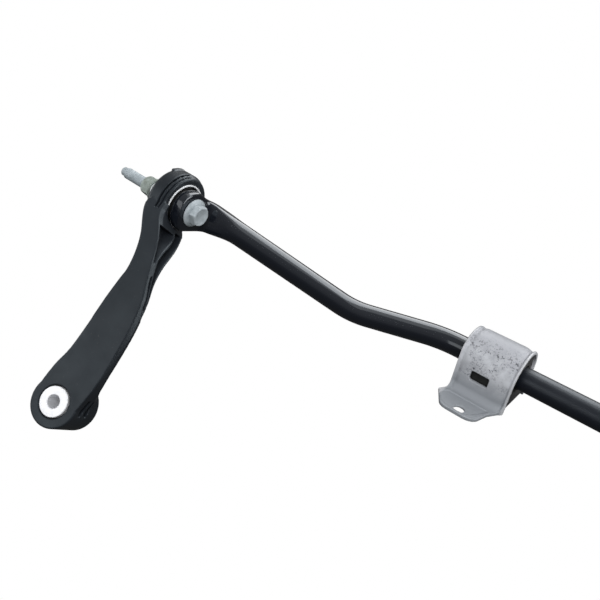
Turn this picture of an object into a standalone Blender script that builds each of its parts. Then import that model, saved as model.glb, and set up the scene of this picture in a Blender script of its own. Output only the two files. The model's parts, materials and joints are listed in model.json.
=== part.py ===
# Sway bar with its two frame brackets and its two bolted drop links.
#
# Frame: +X runs across the car along the bar's torsion axis, +Z is up from the brackets' feet, and
# the origin lies midway between the brackets at the height of their feet. The arms reach to -Y.
# The left half (-X) is designed below, and the right half is its mirror image in the plane X = 0.
# All lengths are in metres.

import math

import bmesh
import bpy
from mathutils import Matrix, Vector

GAP = 0.0003  # clearance between pieces that touch

# Bar
BAR_R = 0.012
BRACKET_X = -0.2495  # left bracket; the right one mirrors it
AXIS_Z = 0.031  # torsion axis above the brackets' feet
INNER_BEND = Vector((-0.3059, 0.0, AXIS_Z))
OUTER_BEND = Vector((-0.3902, -0.0490, 0.0365))
ARM_END = Vector((-0.5301, -0.1395, 0.1124))  # in the eye's own plane
EYE = Vector((-0.5279, -0.1618, 0.1172))  # centre of the flattened end
BOLT_AXIS = Vector((0.9915, 0.0763, -0.1055)).normalized()  # towards the middle of the car
INNER_BEND_R = 0.075
OUTER_BEND_R = 0.090
ARM_END_R = 0.017
EYE_R = 0.0195
EYE_THICK = 0.011
EYE_FLAT = 0.013  # the faces are flat this far from the hole's centre
EYE_HOLE_R = 0.0064
NECK_LENGTH = 0.045  # length over which the round bar becomes the flat eye
NECK_UPPER_LENGTH = 0.022  # the upper edge flares later than the lower one
NECK_STATIONS = (0.033, 0.022, 0.011)  # extra sections before the last bend
RING_POINTS = 20  # points round one section of the bar
BEND_STEP = math.radians(7)

# Bracket; its ends are measured along X from the foot holes
BRACKET_ENDS = (-0.0270, 0.0318)
BUSHING_ENDS = (-0.0235, 0.0280)
DOME_R = 0.0288
WALL = 0.0035
FOOT_THICK = 0.0032
FOOT_REACH = 0.066  # front edge of a foot from the torsion axis
FOOT_HOLE_Y = 0.0573
FOOT_HOLE_R = 0.00525
FOOT_FILLET_R = 0.005
WINDOW_X = 0.019
WINDOW_Z = (0.0185, 0.0290)
SLIT_HALF = 0.0006  # half the width of the slit that lets the bushing open

# Upper bush and its fastener; distances run outwards along the bolt from the middle of the eye
BOLT_R = 0.006
HEAD_FLANGE_R = 0.014
HEAD_FLANGE_THICK = 0.002
HEAD_HEIGHT = 0.0105
HEX_ACROSS_FLATS = 0.018
BOLT_TIP = 0.0960
NUT_FLANGE_R = 0.0118
NUT_FLANGE_THICK = 0.003
NUT_START = 0.0470
NUT_END = 0.0655
UPPER_TUBE_R = 0.0095
UPPER_TUBE_BORE_R = 0.0063
UPPER_RING_R = 0.0227
UPPER_RING_THICK = 0.0015
UPPER_RING_START = 0.0070
LINK_EYE_START = 0.0075
LINK_EYE_END = 0.0290
LINK_EYE_R = 0.031
LINK_EYE_RIM_R = 0.0292  # the eye's front and back rims are rolled down to this radius
LINK_EYE_RIM = 0.004
LINK_AXIS_POINT = 0.0195  # the link's own origin on the bolt

# Link; its own axes are across (inboard), down and front, with the upper bush at the origin
LOW_CENTRE = Vector((-0.5174, -0.2997, -0.0445))
LOW_AXIS = Vector((0.242, -0.757, 0.607)).normalized()  # out of the link's front face
LOW_EYE_R = 0.0239
LOW_HALF = 0.018  # half the lower eye's thickness
LOW_RUBBER_R = 0.0185
LOW_TUBE_R = 0.0140
LOW_TUBE_BORE_R = 0.0061
LOW_TUBE_PROUD = 0.0008

# Driven lengths
UPPER_CENTRE = EYE - BOLT_AXIS * LINK_AXIS_POINT
HEX_R = HEX_ACROSS_FLATS / math.sqrt(3)


def clear_scene():
    for thing in list(bpy.data.objects):
        bpy.data.objects.remove(thing, do_unlink=True)


def make_material(name, colour, metallic, roughness):
    material = bpy.data.materials.new(name)
    material.use_nodes = True
    shader = material.node_tree.nodes["Principled BSDF"]
    shader.inputs["Base Color"].default_value = (*colour, 1.0)
    shader.inputs["Metallic"].default_value = metallic
    shader.inputs["Roughness"].default_value = roughness
    material.diffuse_color = (*colour, 1.0)
    return material


def axis_matrix(origin, z_axis, x_hint):
    """A placement whose +Z is z_axis and whose +X leans towards x_hint."""
    z = z_axis.normalized()
    x = (x_hint - z * x_hint.dot(z)).normalized()
    turn = Matrix((x, z.cross(x), z)).transposed()
    return Matrix.Translation(origin) @ turn.to_4x4()


def new_object(name, bm, placement, material=None):
    """Makes an object from a bmesh built in the placement's own axes."""
    bmesh.ops.recalc_face_normals(bm, faces=bm.faces)
    mesh = bpy.data.meshes.new(name)
    bm.to_mesh(mesh)
    bm.free()
    mesh.shade_smooth()
    mesh.set_sharp_from_angle(angle=math.radians(35))
    if material:
        mesh.materials.append(material)
    thing = bpy.data.objects.new(name, mesh)
    thing.matrix_world = placement
    bpy.context.scene.collection.objects.link(thing)
    return thing


def new_cutter(name, bm, placement):
    cutter = new_object(name, bm, placement)
    cutter.hide_render = True
    cutter.display_type = "WIRE"
    return cutter


def boolean(thing, cutter, operation="DIFFERENCE"):
    step = thing.modifiers.new(cutter.name, "BOOLEAN")
    step.operation = operation
    step.solver = "EXACT"
    step.object = cutter


def turned(profile, segments):
    """Turns a profile of (radius, height) points round +Z; a radius of 0 is a pole."""
    bm = bmesh.new()
    rings = []
    for radius, height in profile:
        if radius == 0:
            rings.append([bm.verts.new((0, 0, height))])
            continue
        angles = [2 * math.pi * k / segments for k in range(segments)]
        rings.append([bm.verts.new((radius * math.cos(a), radius * math.sin(a), height)) for a in angles])
    closed = profile[0][0] > 0
    last = len(rings) if closed else len(rings) - 1
    for k in range(last):
        low, high = rings[k], rings[(k + 1) % len(rings)]
        for i in range(segments):
            j = (i + 1) % segments
            corners = [low[i % len(low)], low[j % len(low)], high[j % len(high)], high[i % len(high)]]
            unique = list(dict.fromkeys(corners))
            if len(unique) > 2:
                bm.faces.new(unique)
    return bm


def tube(outer, inner, low, high, segments, chamfer=0.0):
    """A turned sleeve with chamfered outer rims."""
    profile = [(inner, low), (outer - chamfer, low), (outer, low + chamfer)]
    profile += [(outer, high - chamfer), (outer - chamfer, high), (inner, high)]
    if chamfer == 0:
        profile = [(inner, low), (outer, low), (outer, high), (inner, high)]
    return turned(profile, segments)


def rod(radius, low, high, segments):
    return turned([(0, low), (radius, low), (radius, high), (0, high)], segments)


def prism(outline, low, high):
    """Extrudes a flat outline of (x, y) points from z = low to z = high."""
    bm = bmesh.new()
    bottom = [bm.verts.new((x, y, low)) for x, y in outline]
    top = [bm.verts.new((x, y, high)) for x, y in outline]
    bm.faces.new(bottom)
    bm.faces.new(top)
    for i in range(len(outline)):
        j = (i + 1) % len(outline)
        bm.faces.new((bottom[i], bottom[j], top[j], top[i]))
    return bm


def loft(sections):
    """Joins rings of equal length into one closed skin with flat ends."""
    bm = bmesh.new()
    rings = [[bm.verts.new(point) for point in section] for section in sections]
    for low, high in zip(rings, rings[1:]):
        for i in range(len(low)):
            j = (i + 1) % len(low)
            bm.faces.new((low[i], low[j], high[j], high[i]))
    bm.faces.new(rings[0])
    bm.faces.new(rings[-1])
    return bm


def smooth_step(t):
    t = min(max(t, 0.0), 1.0)
    return t * t * (3 - 2 * t)


def arc(centre_x, centre_y, radius, start_deg, end_deg, steps):
    points = []
    for k in range(steps + 1):
        angle = math.radians(start_deg + (end_deg - start_deg) * k / steps)
        points.append((centre_x + radius * math.cos(angle), centre_y + radius * math.sin(angle)))
    return points


def mirrored(thing, name):
    """A mirror image in X = 0 of an object, with its modifiers applied."""
    view = bpy.context.evaluated_depsgraph_get()
    mesh = bpy.data.meshes.new_from_object(thing.evaluated_get(view))
    bm = bmesh.new()
    bm.from_mesh(mesh)
    bpy.data.meshes.remove(mesh)
    bm.transform(thing.matrix_world)
    bmesh.ops.scale(bm, vec=(-1, 1, 1), verts=bm.verts)
    origin = thing.matrix_world.translation.copy()
    origin.x = -origin.x
    placement = Matrix.Translation(origin)
    bm.transform(placement.inverted())
    return new_object(name, bm, placement, thing.material_slots[0].material)


# Bar ------------------------------------------------------------------------------------------


def rounded_route(corners, radii):
    """Points and tangents along a line through the corners, with each inner corner rounded."""
    route = [(corners[0], (corners[1] - corners[0]).normalized())]
    for k, radius in enumerate(radii, start=1):
        before = (corners[k] - corners[k - 1]).normalized()
        after = (corners[k + 1] - corners[k]).normalized()
        turn = before.angle(after)
        start = corners[k] - before * radius * math.tan(turn / 2)
        side = (after - before * after.dot(before)).normalized()
        steps = max(2, math.ceil(turn / BEND_STEP))
        for i in range(steps + 1):
            angle = turn * i / steps
            point = start + before * radius * math.sin(angle) + side * radius * (1 - math.cos(angle))
            route.append((point, before * math.cos(angle) + side * math.sin(angle)))
    route.append((corners[-1], (corners[-1] - corners[-2]).normalized()))
    return route


def bar_section(centre, tangent, width_hint, half_width, half_thick, squareness):
    """A ring round the bar: a circle at squareness 2, a rounded rectangle above it."""
    width = (width_hint - tangent * width_hint.dot(tangent)).normalized()
    thick = tangent.cross(width)
    ring = []
    for k in range(RING_POINTS):
        angle = 2 * math.pi * k / RING_POINTS
        c, s = math.cos(angle), math.sin(angle)
        across = math.copysign(abs(c) ** (2 / squareness), c) * half_width
        along = math.copysign(abs(s) ** (2 / squareness), s) * half_thick
        ring.append(centre + width * across + thick * along)
    return ring


def half_bar_sections():
    """Sections of the left half, from the middle of the car out to the tip of the eye."""
    middle = Vector((0.0, 0.0, AXIS_Z))
    route = rounded_route([middle, INNER_BEND, OUTER_BEND, ARM_END, EYE], [INNER_BEND_R, OUTER_BEND_R, ARM_END_R])
    to_eye = route[-1][1]
    to_eye = (to_eye - BOLT_AXIS * to_eye.dot(BOLT_AXIS)).normalized()
    width_hint = BOLT_AXIS.cross(to_eye)
    route[-1] = (route[-1][0], to_eye)
    before = max(i for i, (point, _) in enumerate(route) if (EYE - point).length > NECK_LENGTH)
    tangent = route[before][1]
    bend_start = route[before + 1][0]
    route[before + 1:before + 1] = [(bend_start - tangent * back, tangent) for back in NECK_STATIONS]
    lengths = [0.0]
    for (a, _), (b, _) in zip(route, route[1:]):
        lengths.append(lengths[-1] + (b - a).length)
    sections = []
    for (point, tangent), length in zip(route, lengths):
        to_go = lengths[-1] - length
        flat = smooth_step(1 - (to_go - EYE_FLAT) / NECK_LENGTH)
        late = smooth_step(1 - to_go / NECK_UPPER_LENGTH)
        lower = BAR_R + (EYE_R - BAR_R) * flat
        upper = BAR_R + (EYE_R - BAR_R) * late
        point = point + width_hint * (lower - upper) / 2
        half_thick = BAR_R + (EYE_THICK / 2 - BAR_R) * flat
        sections.append(bar_section(point, tangent, width_hint, (lower + upper) / 2, half_thick, 2 + 3 * flat))
    for angle_deg in (20, 38, 54, 68, 80):
        angle = math.radians(angle_deg)
        centre = EYE + to_eye * EYE_R * math.sin(angle)
        half_width = EYE_R * math.cos(angle)
        sections.append(bar_section(centre, to_eye, width_hint, half_width, EYE_THICK / 2, 5))
    return sections


def flip_x(point):
    return Vector((-point.x, point.y, point.z))


def make_bar(material):
    left = half_bar_sections()
    right = [[flip_x(point) for point in ring] for ring in left[1:]]
    rings = list(reversed(left)) + right
    axis_point = Matrix.Translation((0.0, 0.0, AXIS_Z))
    bm = loft(rings)
    bm.transform(axis_point.inverted())
    bar = new_object("stabiliser_bar", bm, axis_point, material)
    for side, centre, axis in (("left", EYE, BOLT_AXIS), ("right", flip_x(EYE), flip_x(BOLT_AXIS))):
        hole = rod(EYE_HOLE_R, -EYE_THICK, EYE_THICK, 24)
        cutter = new_cutter("eye_hole_" + side, hole, axis_matrix(centre, axis, Vector((0, 0, 1))))
        boolean(bar, cutter)
    return bar


# Bracket and its bushing ----------------------------------------------------------------------


def bracket_outline():
    """The bracket's end view as (y, z) points round its wall, foot to foot."""
    inner_r = DOME_R - WALL
    right_foot = [(FOOT_REACH, 0.0), (FOOT_REACH, FOOT_THICK)]
    fillet_y = DOME_R + FOOT_FILLET_R
    fillet = arc(fillet_y, FOOT_THICK + FOOT_FILLET_R, FOOT_FILLET_R, 270, 180, 4)
    right = right_foot + fillet
    dome = arc(0.0, AXIS_Z, DOME_R, 0, 180, 20)
    left = [(-y, z) for y, z in reversed(right)]
    inside = [(-inner_r, 0.0)] + arc(0.0, AXIS_Z, inner_r, 180, 0, 20) + [(inner_r, 0.0)]
    return right + dome + left + inside


def foot_plan(side):
    """A foot's plan outline as (x, y) points from -X to +X, with a cut-off front corner."""
    low, high = BRACKET_ENDS
    plan = [(low, DOME_R - WALL), (low - 0.0010, 0.0360), (low - 0.0025, 0.0435)]
    plan += arc(-0.0105, FOOT_REACH - 0.0105, 0.0105, 145, 90, 4)
    plan += arc(0.0080, FOOT_REACH - 0.0125, 0.0125, 90, 20, 4)
    plan += [(0.0230, 0.0430), (high - 0.0030, 0.0315), (high, DOME_R - WALL)]
    return [(x, y * side) for x, y in plan]


def make_bracket(material):
    # The outline lies in Y and Z, so the prism's own axes are Y, Z and X
    turn = Matrix(((0, 0, 1), (1, 0, 0), (0, 1, 0))).to_4x4()
    low, high = BRACKET_ENDS
    bm = prism(bracket_outline(), 2 * low, 2 * high)
    bm.transform(turn)
    bracket = new_object("bracket_left", bm, Matrix.Translation((BRACKET_X, 0, 0)), material)
    plan = foot_plan(1) + foot_plan(-1)[::-1]
    keep = prism(plan, -0.01, AXIS_Z + DOME_R + 0.01)
    shape = new_cutter("bracket_plan", keep, Matrix.Translation((BRACKET_X, 0, 0)))
    boolean(bracket, shape, "INTERSECT")
    for side in (-1, 1):
        place = Matrix.Translation((BRACKET_X, side * FOOT_HOLE_Y, 0))
        hole = new_cutter("foot_hole", rod(FOOT_HOLE_R, -0.01, 0.02, 24), place)
        boolean(bracket, hole)
    low, high = WINDOW_Z
    window = prism([(-WINDOW_X / 2, low), (WINDOW_X / 2, low), (WINDOW_X / 2, high), (-WINDOW_X / 2, high)], 0, 0.02)
    to_wall = Matrix(((1, 0, 0, BRACKET_X), (0, 0, 1, -DOME_R - 0.008), (0, 1, 0, 0), (0, 0, 0, 1)))
    window.transform(to_wall)
    boolean(bracket, new_cutter("bracket_window", window, Matrix.Identity(4)))
    return bracket


def make_bushing(material):
    outer = DOME_R - WALL - GAP
    bore = BAR_R + GAP
    outline = [(-outer, 0.0)] + arc(0.0, AXIS_Z, outer, 180, 0, 20) + [(outer, 0.0)]
    turn = Matrix(((0, 0, 1), (1, 0, 0), (0, 1, 0))).to_4x4()
    low, high = BUSHING_ENDS
    bm = prism(outline, low, high)
    bm.transform(turn)
    bushing = new_object("bar_bushing_left", bm, Matrix.Translation((BRACKET_X, 0, 0)), material)
    along_x = axis_matrix(Vector((BRACKET_X, 0, AXIS_Z)), Vector((1, 0, 0)), Vector((0, 0, 1)))
    boolean(bushing, new_cutter("bushing_bore", rod(bore, 2 * low, 2 * high, 28), along_x))
    reach = outer + 0.01
    corners = [(0.004, -SLIT_HALF), (reach, -SLIT_HALF), (reach, SLIT_HALF), (0.004, SLIT_HALF)]
    slit = prism(corners, 2 * low, 2 * high)
    slit.transform(turn)
    boolean(bushing, new_cutter("bushing_slit", slit, Matrix.Translation((BRACKET_X, 0, AXIS_Z))))
    return bushing


# Link -----------------------------------------------------------------------------------------

# The link's plan: how far down, its outboard and inboard edges, its back face, and how far the
# back's edges stand in from the front's
LINK_STATIONS = (
    (0.012, -0.0080, 0.0150, -0.018, 0.0010),
    (0.022, -0.0070, 0.0190, -0.013, 0.0010),
    (0.032, -0.0024, 0.0240, -0.005, 0.0010),
    (0.045, 0.0058, 0.0298, 0.003, 0.0010),
    (0.060, 0.0120, 0.0362, 0.011, 0.0015),
    (0.078, 0.0160, 0.0438, 0.016, 0.0025),
    (0.095, 0.0155, 0.0515, 0.018, 0.0035),
    (0.120, 0.0155, 0.0575, 0.018, 0.0045),
    (0.145, 0.0165, 0.0603, 0.018, 0.0055),
    (0.168, 0.0160, 0.0610, 0.016, 0.0055),
    (0.185, 0.0135, 0.0610, 0.010, 0.0045),
    (0.200, 0.0124, 0.0600, 0.001, 0.0030),
    (0.208, 0.0120, 0.0592, -0.004, 0.0020),
)
LINK_FRONT = 0.0290


def link_placement():
    """The link's own axes: +X across towards the car's middle, +Y up the link, +Z out of its face."""
    return axis_matrix(UPPER_CENTRE, LOW_AXIS, BOLT_AXIS)


def make_link(material):
    place = link_placement()
    into = place.inverted()
    low = into @ LOW_CENTRE
    bolt = into.to_3x3() @ BOLT_AXIS
    sections = []
    for down, outboard, inboard, back, inset in LINK_STATIONS:
        ring = [(outboard + inset, -down, back), (inboard - inset, -down, back)]
        ring += [(inboard, -down, LINK_FRONT), (outboard, -down, LINK_FRONT)]
        sections.append([Vector(point) for point in ring])
    link = new_object("link_body_left", loft(sections), place, material)
    front = LINK_AXIS_POINT - LINK_EYE_START
    back = LINK_AXIS_POINT - LINK_EYE_END
    profile = [(0, back), (LINK_EYE_RIM_R - 0.001, back), (LINK_EYE_R, back + LINK_EYE_RIM)]
    profile += [(LINK_EYE_R, front - 2 * LINK_EYE_RIM), (LINK_EYE_RIM_R, front - 0.001)]
    profile += [(LINK_EYE_RIM_R - 0.001, front), (0, front)]
    upper = turned(profile, 40)
    upper.transform(axis_matrix(Vector((0, 0, 0)), bolt, Vector((0, 1, 0))))
    boolean(link, new_cutter("link_upper_eye", upper, place), "UNION")
    lower = rod(LOW_EYE_R, -LOW_HALF, LINK_FRONT - low.z, 36)
    lower.transform(Matrix.Translation(low))
    boolean(link, new_cutter("link_lower_eye", lower, place), "UNION")
    upper_bore = rod(UPPER_RING_R + GAP, -0.06, 0.06, 40)
    upper_bore.transform(axis_matrix(Vector((0, 0, 0)), bolt, Vector((0, 1, 0))))
    boolean(link, new_cutter("link_upper_bore", upper_bore, place))
    lower_bore = rod(LOW_RUBBER_R + GAP, -0.06, 0.06, 36)
    lower_bore.transform(Matrix.Translation(low))
    boolean(link, new_cutter("link_lower_bore", lower_bore, place))
    return link


# Bushes, bolt and nut -------------------------------------------------------------------------


def upper_placement():
    """+Z runs outwards along the bolt from the middle of the bar's eye."""
    return axis_matrix(EYE, -BOLT_AXIS, Vector((0, 0, 1)))


def make_upper_bush(ring_material, rubber_material, tube_material):
    place = upper_placement()
    ring_end = LINK_EYE_END + 0.0005
    bore = UPPER_RING_R - UPPER_RING_THICK
    ring = tube(UPPER_RING_R, bore, UPPER_RING_START, ring_end, 40, 0.0004)
    rubber_out = bore - GAP
    rubber_in = UPPER_TUBE_R + GAP
    front = UPPER_RING_START + 0.0008
    back = ring_end - 0.0008
    rubber_profile = [(rubber_in, front), (rubber_in + 0.004, front), (rubber_in + 0.006, front + 0.003)]
    rubber_profile += [(rubber_out - 0.002, front + 0.003), (rubber_out, front + 0.001)]
    rubber_profile += [(rubber_out, back - 0.001), (rubber_out - 0.002, back - 0.003)]
    rubber_profile += [(rubber_in + 0.006, back - 0.003), (rubber_in + 0.004, back), (rubber_in, back)]
    rubber = turned(rubber_profile, 36)
    start = EYE_THICK / 2 + GAP
    inner = tube(UPPER_TUBE_R, UPPER_TUBE_BORE_R, start, NUT_START - GAP, 28, 0.0005)
    return [
        new_object("upper_bush_ring_left", ring, place, ring_material),
        new_object("upper_bush_rubber_left", rubber, place, rubber_material),
        new_object("upper_bush_tube_left", inner, place, tube_material),
    ]


def make_lower_bush(rubber_material, tube_material):
    placement = link_placement()
    face = LINK_FRONT - (placement.inverted() @ LOW_CENTRE).z
    place = axis_matrix(LOW_CENTRE, LOW_AXIS, BOLT_AXIS)
    rubber = tube(LOW_RUBBER_R, LOW_TUBE_R + GAP, -LOW_HALF + 0.0008, face - 0.0008, 36, 0.0008)
    end = LOW_HALF + LOW_TUBE_PROUD
    inner = tube(LOW_TUBE_R, LOW_TUBE_BORE_R, -end, end, 32, 0.0006)
    return [
        new_object("lower_bush_rubber_left", rubber, place, rubber_material),
        new_object("lower_bush_tube_left", inner, place, tube_material),
    ]


def hexagon(low, high):
    corners = [(HEX_R * math.cos(math.radians(60 * k)), HEX_R * math.sin(math.radians(60 * k))) for k in range(6)]
    return prism(corners, low, high)


def make_bolt(material):
    place = upper_placement()
    seat = -EYE_THICK / 2 - GAP
    flange_top = seat - HEAD_FLANGE_THICK
    profile = [(0, BOLT_TIP), (BOLT_R - 0.0012, BOLT_TIP), (BOLT_R, BOLT_TIP - 0.0015), (BOLT_R, seat)]
    profile += [(HEAD_FLANGE_R, seat), (HEAD_FLANGE_R, flange_top + 0.0006), (0.0105, flange_top - 0.0012)]
    profile += [(0, flange_top - 0.0012)]
    bolt = new_object("flange_bolt_left", turned(profile, 32), place, material)
    head = hexagon(flange_top - HEAD_HEIGHT + HEAD_FLANGE_THICK, seat - 0.001)
    boolean(bolt, new_cutter("bolt_hex", head, place), "UNION")
    return bolt


def make_nut(material):
    place = upper_placement()
    flange = NUT_START + NUT_FLANGE_THICK
    bore = BOLT_R + GAP
    profile = [(bore, NUT_START), (NUT_FLANGE_R, NUT_START), (NUT_FLANGE_R, NUT_START + 0.001)]
    profile += [(0.0100, flange), (bore, flange)]
    nut = new_object("flange_nut_left", turned(profile, 32), place, material)
    hexagonal = hexagon(NUT_START + 0.0012, NUT_END)
    boolean(nut, new_cutter("nut_hex", hexagonal, place), "UNION")
    cone = turned([(0, NUT_START - 0.01), (0.02, NUT_START - 0.01), (0.02, NUT_END - 0.0095)]
                  + [(0.0085, NUT_END), (0, NUT_END)], 32)
    boolean(nut, new_cutter("nut_chamfer", cone, place), "INTERSECT")
    boolean(nut, new_cutter("nut_bore", rod(bore, NUT_START - 0.01, NUT_END + 0.01, 32), place))
    return nut


# Assembly -------------------------------------------------------------------------------------


def make_pivot(name, point):
    pivot = bpy.data.objects.new(name, None)
    pivot.location = point
    pivot.empty_display_size = 0.03
    bpy.context.scene.collection.objects.link(pivot)
    return pivot


def hang(thing, pivot):
    """Parents an object to a pivot without moving it."""
    bpy.context.view_layer.update()
    thing.parent = pivot
    thing.matrix_parent_inverse = pivot.matrix_world.inverted()


def main():
    clear_scene()
    enamel = make_material("bar_enamel", (0.015, 0.017, 0.022), 0.0, 0.22)
    cast = make_material("bracket_aluminium", (0.62, 0.63, 0.65), 0.9, 0.42)
    plastic = make_material("link_plastic", (0.032, 0.036, 0.042), 0.0, 0.5)
    rubber = make_material("bush_rubber", (0.012, 0.012, 0.013), 0.0, 0.75)
    bright = make_material("sleeve_aluminium", (0.86, 0.87, 0.88), 1.0, 0.28)
    steel = make_material("bush_steel", (0.55, 0.56, 0.56), 1.0, 0.35)
    zinc = make_material("bolt_zinc", (0.50, 0.53, 0.56), 0.9, 0.42)
    green_zinc = make_material("nut_zinc", (0.46, 0.52, 0.49), 0.9, 0.45)

    bar = make_bar(enamel)
    fixed = [make_bracket(cast), make_bushing(rubber)]
    on_bar = [make_bolt(zinc), make_nut(green_zinc)]
    ring, bush_rubber, bush_tube = make_upper_bush(steel, rubber, steel)
    on_bar.append(bush_tube)
    on_link = [make_link(plastic), ring, bush_rubber]
    low_rubber, low_tube = make_lower_bush(rubber, bright)
    on_link.append(low_rubber)

    bpy.context.view_layer.update()
    twins = {}
    for thing in fixed + on_bar + on_link + [low_tube]:
        twins[thing.name] = mirrored(thing, thing.name.replace("_left", "_right"))

    bar_pivot = make_pivot("bar_pivot", (0.0, 0.0, AXIS_Z))
    hang(bar, bar_pivot)
    for side in ("left", "right"):
        pick = (lambda thing: thing) if side == "left" else (lambda thing: twins[thing.name])
        place = (lambda point: point) if side == "left" else flip_x
        link_pivot = make_pivot("link_pivot_" + side, place(UPPER_CENTRE))
        sleeve_pivot = make_pivot("sleeve_pivot_" + side, place(LOW_CENTRE))
        hang(link_pivot, bar_pivot)
        hang(sleeve_pivot, link_pivot)
        for thing in on_bar:
            hang(pick(thing), bar_pivot)
        for thing in on_link:
            hang(pick(thing), link_pivot)
        hang(pick(low_tube), sleeve_pivot)


main()
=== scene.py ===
import json
import math

import bmesh
import bpy
from mathutils import Matrix, Vector


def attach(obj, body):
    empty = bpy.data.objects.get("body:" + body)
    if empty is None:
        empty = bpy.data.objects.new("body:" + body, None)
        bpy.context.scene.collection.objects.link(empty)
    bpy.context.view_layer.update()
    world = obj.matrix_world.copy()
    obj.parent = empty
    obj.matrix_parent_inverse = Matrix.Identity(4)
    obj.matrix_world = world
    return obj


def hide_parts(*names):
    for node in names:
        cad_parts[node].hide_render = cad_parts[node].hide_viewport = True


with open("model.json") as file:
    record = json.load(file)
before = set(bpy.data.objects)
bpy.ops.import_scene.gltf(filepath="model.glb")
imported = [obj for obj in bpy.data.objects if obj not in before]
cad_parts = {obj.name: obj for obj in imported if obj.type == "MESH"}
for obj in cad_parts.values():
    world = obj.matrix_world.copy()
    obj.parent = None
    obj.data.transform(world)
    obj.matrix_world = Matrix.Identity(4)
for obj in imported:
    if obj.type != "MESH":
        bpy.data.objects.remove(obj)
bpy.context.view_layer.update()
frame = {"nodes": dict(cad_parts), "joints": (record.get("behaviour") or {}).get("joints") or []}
print("frame loaded:", len(frame["nodes"]), "nodes")

mm = 0.001  # shapes below are in millimetres, and meshes in metres

joints = {joint["name"]: joint for joint in frame["joints"]}
twistPoint = Vector(joints["bar_twist"]["pos_m"]) / mm
linkTop = Vector(joints["link_swing_left"]["pos_m"]) / mm
boltWay = Vector(joints["link_swing_left"]["axis"]).normalized()  # towards the middle of the car
sleevePoint = Vector(joints["sleeve_twist_left"]["pos_m"]) / mm
sleeveWay = Vector(joints["sleeve_twist_left"]["axis"]).normalized()  # out of the link's front face
upWay = Vector((0, 0, 1))


# Places

def flipX(vector):
    return Vector((-vector.x, vector.y, vector.z))


def axisPlace(origin, zWay, xWay):
    # a place whose +Z is zWay and whose +X leans towards xWay
    z = zWay.normalized()
    x = (xWay - z * xWay.dot(z)).normalized()
    return Matrix.Translation(origin) @ Matrix((x, z.cross(x), z)).transposed().to_4x4()


eyeToLinkTop = 19.5  # from the middle of the bar's eye to the link's own origin on the bolt
barEye = linkTop + boltWay * eyeToLinkTop
boltPlaces = {
    "left": axisPlace(barEye, -boltWay, upWay),  # +Z runs outwards along the bolt
    "right": axisPlace(flipX(barEye), -flipX(boltWay), upWay),
}
sleevePlaces = {
    "left": axisPlace(sleevePoint, sleeveWay, boltWay),
    "right": axisPlace(flipX(sleevePoint), flipX(sleeveWay), flipX(boltWay)),
}
linkPlace = axisPlace(linkTop, sleeveWay, boltWay)  # x inboard, y up the link, z out of its face


# Mesh helpers

def softStep(t):
    t = min(max(t, 0.0), 1.0)
    return t * t * (3 - 2 * t)


def softCorners(points, radius, steps=4):
    # rounds the corners of a closed outline; a point's third value is its own radius
    soft = []
    for k, point in enumerate(points):
        here = Vector(point[:2])
        back = Vector(points[k - 1][:2]) - here
        ahead = Vector(points[(k + 1) % len(points)][:2]) - here
        own = point[2] if len(point) > 2 else radius
        if own == 0:
            soft.append(here)
            continue
        cut = min(own, 0.45 * back.length, 0.45 * ahead.length)
        start = here + back.normalized() * cut
        end = here + ahead.normalized() * cut
        for i in range(steps + 1):
            t = i / steps
            soft.append(start * (1 - t) ** 2 + here * 2 * t * (1 - t) + end * t * t)
    return soft


def arcPoints(centre, radius, startDegrees, endDegrees, steps):
    points = []
    for k in range(steps + 1):
        angle = math.radians(startDegrees + (endDegrees - startDegrees) * k / steps)
        points.append((centre[0] + radius * math.cos(angle), centre[1] + radius * math.sin(angle)))
    return points


def rawMesh(name, bm):
    # millimetres to metres, faces out
    bm.transform(Matrix.Scale(mm, 4))
    bmesh.ops.recalc_face_normals(bm, faces=bm.faces)
    mesh = bpy.data.meshes.new(name)
    bm.to_mesh(mesh)
    bm.free()
    return mesh


def smoothed(mesh, name, sharpDegrees=32):
    # smooth except at real edges
    mesh.name = name
    mesh.shade_smooth()
    mesh.set_sharp_from_angle(angle=math.radians(sharpDegrees))
    return mesh


def finishMesh(name, bm, place=None):
    if place is not None:
        bm.transform(place)
    bmesh.ops.remove_doubles(bm, verts=bm.verts, dist=1e-4)
    return smoothed(rawMesh(name, bm), name)


def ringLoft(rings):
    # joins rings of equal length, with flat caps
    bm = bmesh.new()
    made = [[bm.verts.new(point) for point in ring] for ring in rings]
    for low, high in zip(made, made[1:]):
        for i in range(len(low)):
            j = (i + 1) % len(low)
            bm.faces.new((low[i], low[j], high[j], high[i]))
    bm.faces.new(made[0])
    bm.faces.new(made[-1])
    return bm


def turnedBody(outline, segments, hexFlats=None):
    # turns an outline of (radius, height) round +Z; radii past a hexagon's flats follow the hexagon
    bm = bmesh.new()
    rows = []
    for radius, height in outline:
        if radius == 0:
            rows.append([bm.verts.new((0, 0, height))] * segments)
            continue
        row = []
        for k in range(segments):
            angle = 2 * math.pi * k / segments
            fromFlat = angle % (math.pi / 3) - math.pi / 6
            reach = min(radius, hexFlats / 2 / math.cos(fromFlat)) if hexFlats else radius
            row.append(bm.verts.new((reach * math.cos(angle), reach * math.sin(angle), height)))
        rows.append(row)
    pairs = list(zip(rows, rows[1:]))
    if outline[0][0] and outline[-1][0]:
        pairs.append((rows[-1], rows[0]))
    for low, high in pairs:
        for k in range(segments):
            n = (k + 1) % segments
            bm.faces.new(list(dict.fromkeys((low[k], low[n], high[n], high[k]))))
    return bm


def prismBody(outline, low, high):
    return ringLoft([[(x, y, low) for x, y in outline], [(x, y, high) for x, y in outline]])


def workObject(name, mesh):
    thing = bpy.data.objects.new(name, mesh)
    bpy.context.scene.collection.objects.link(thing)
    return thing


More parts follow.
